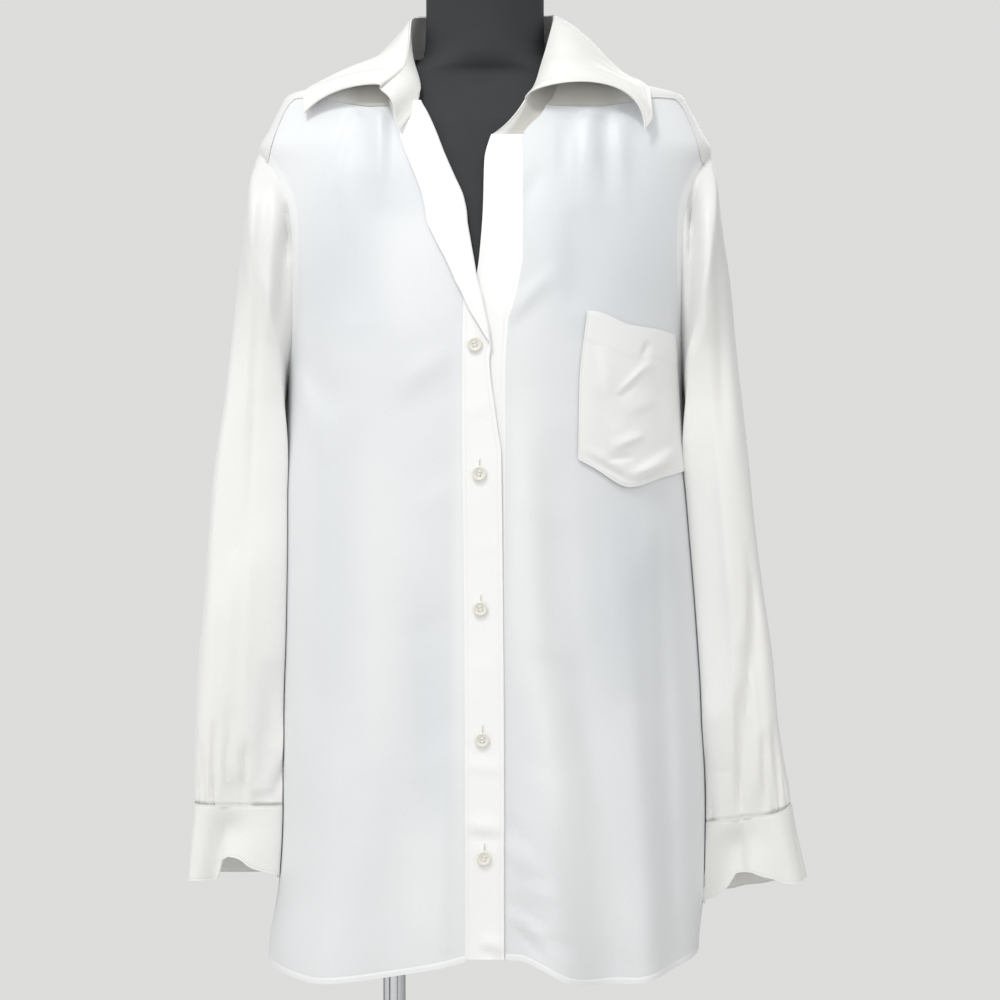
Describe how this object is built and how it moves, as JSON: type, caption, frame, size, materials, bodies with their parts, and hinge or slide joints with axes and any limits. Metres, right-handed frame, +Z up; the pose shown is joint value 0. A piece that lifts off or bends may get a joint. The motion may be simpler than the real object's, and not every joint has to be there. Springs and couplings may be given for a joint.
{
  "type": "silk blouse on a limbless dress form with a stand",
  "caption": "White long-sleeved silk blouse with an open collar, rolled lapel and chest pocket, worn on a limbless black dress form with a chrome pole and a round base.",
  "frame": {"origin": "on the floor, at the centre of the round base's underside, below the middle of the form", "axes": "+Z up; the blouse faces -Y; +X is the wearer's left"},
  "size_m": [0.524, 0.34, 1.535],
  "materials": {
    "silk": "thin silk crepe de chine, single layer, soft sheen",
    "silk_doubled": "the same silk in two layers with interfacing, a little brighter",
    "pearl": "pearly white, glossy",
    "form_cover": "tight black jersey cover, matt",
    "chrome": "polished"
  },
  "bodies": {
    "root": {"front_right": "silk", "front_left": "silk", "back": "silk", "yoke": "silk", "sleeve_right": "silk", "sleeve_left": "silk", "placket_right": "silk_doubled", "placket_left": "silk_doubled", "collar_stand": "silk_doubled", "collar_leaf": "silk_doubled", "cuff_right": "silk_doubled", "cuff_left": "silk_doubled", "pocket": "silk_doubled", "button_1": "pearl", "button_2": "pearl", "button_3": "pearl", "button_4": "pearl", "button_5": "pearl", "cuff_button_right": "pearl", "cuff_button_left": "pearl", "form_body": "form_cover", "form_plate": "chrome", "stand_pole": "chrome", "stand_hub": "chrome", "stand_base": "chrome"}
  },
  "joints": []
}
